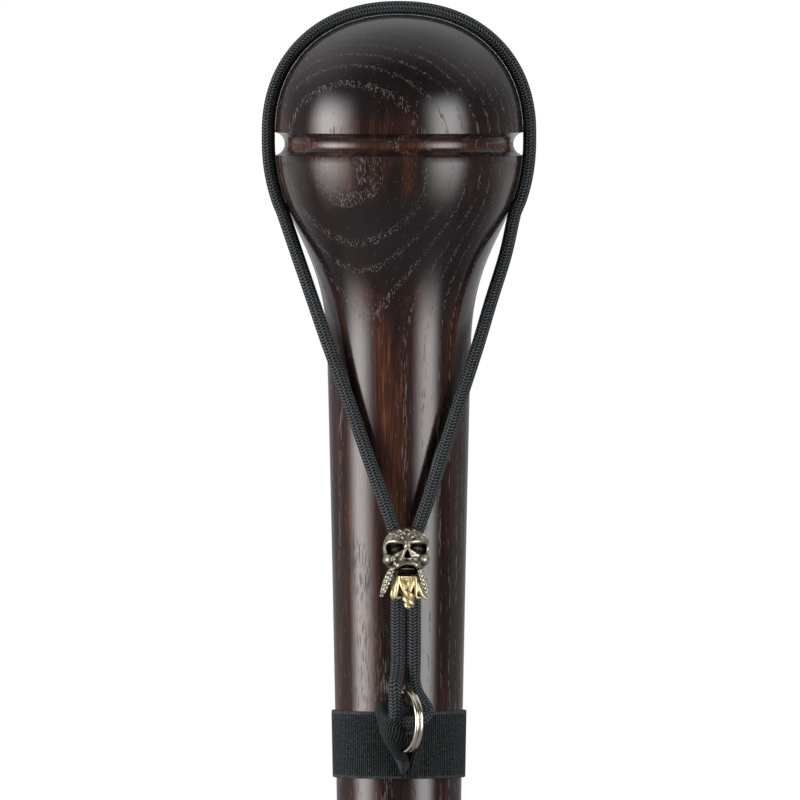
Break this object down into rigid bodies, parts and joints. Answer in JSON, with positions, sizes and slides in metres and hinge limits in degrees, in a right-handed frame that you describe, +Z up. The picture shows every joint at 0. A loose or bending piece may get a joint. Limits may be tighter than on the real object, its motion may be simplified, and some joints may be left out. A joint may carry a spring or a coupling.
{
  "type": "walking stick",
  "caption": "Turned dark wood walking stick with a ball head, a braided wrist cord looped over it, a metal skull bead, a split ring and an elastic band.",
  "frame": {"origin": "centre of the ferrule's base, where the stick stands", "axes": "+Z up the stick to the head, -Y is the side that the bead and the ring lie on, +X to the right seen from that side"},
  "size_m": [0.0828, 0.0762, 0.9192],
  "materials": {
    "wood": "dark stained ring-porous wood under semi-gloss varnish",
    "ferrule_rubber": "matte black rubber",
    "washer_steel": "zinc-plated steel",
    "cord": "black braided nylon sheath",
    "ring_nickel": "polished nickel plate",
    "elastic": "black ribbed woven elastic",
    "bead_silver": "aged nickel silver with dark recesses",
    "bead_brass": "polished yellow brass"
  },
  "bodies": {
    "stick": {"stick_body": "wood", "rubber_ferrule": "ferrule_rubber", "ferrule_washer": "washer_steel"},
    "strap": {"wrist_cord": "cord", "cord_knot": "cord", "elastic_band": "elastic"},
    "ring": {"split_ring": "ring_nickel"},
    "bead": {"skull_bead": "bead_silver", "bead_beard": "bead_brass"}
  },
  "joints": [
    {"name": "strap_turn", "type": "hinge", "parent": "stick", "child": "strap", "pos_m": [0, 0, 0.69625], "axis": [0, 0, 1], "continuous": true},
    {"name": "bead_slide", "type": "slide", "parent": "strap", "child": "bead", "axis": [0, 0, -1], "range_m": [0, 0.014]},
    {"name": "ring_turn", "type": "hinge", "parent": "strap", "child": "ring", "pos_m": [0.00225, -0.02999, 0.7039], "axis": [0.9063, 0.4226, 0], "continuous": true}
  ]
}
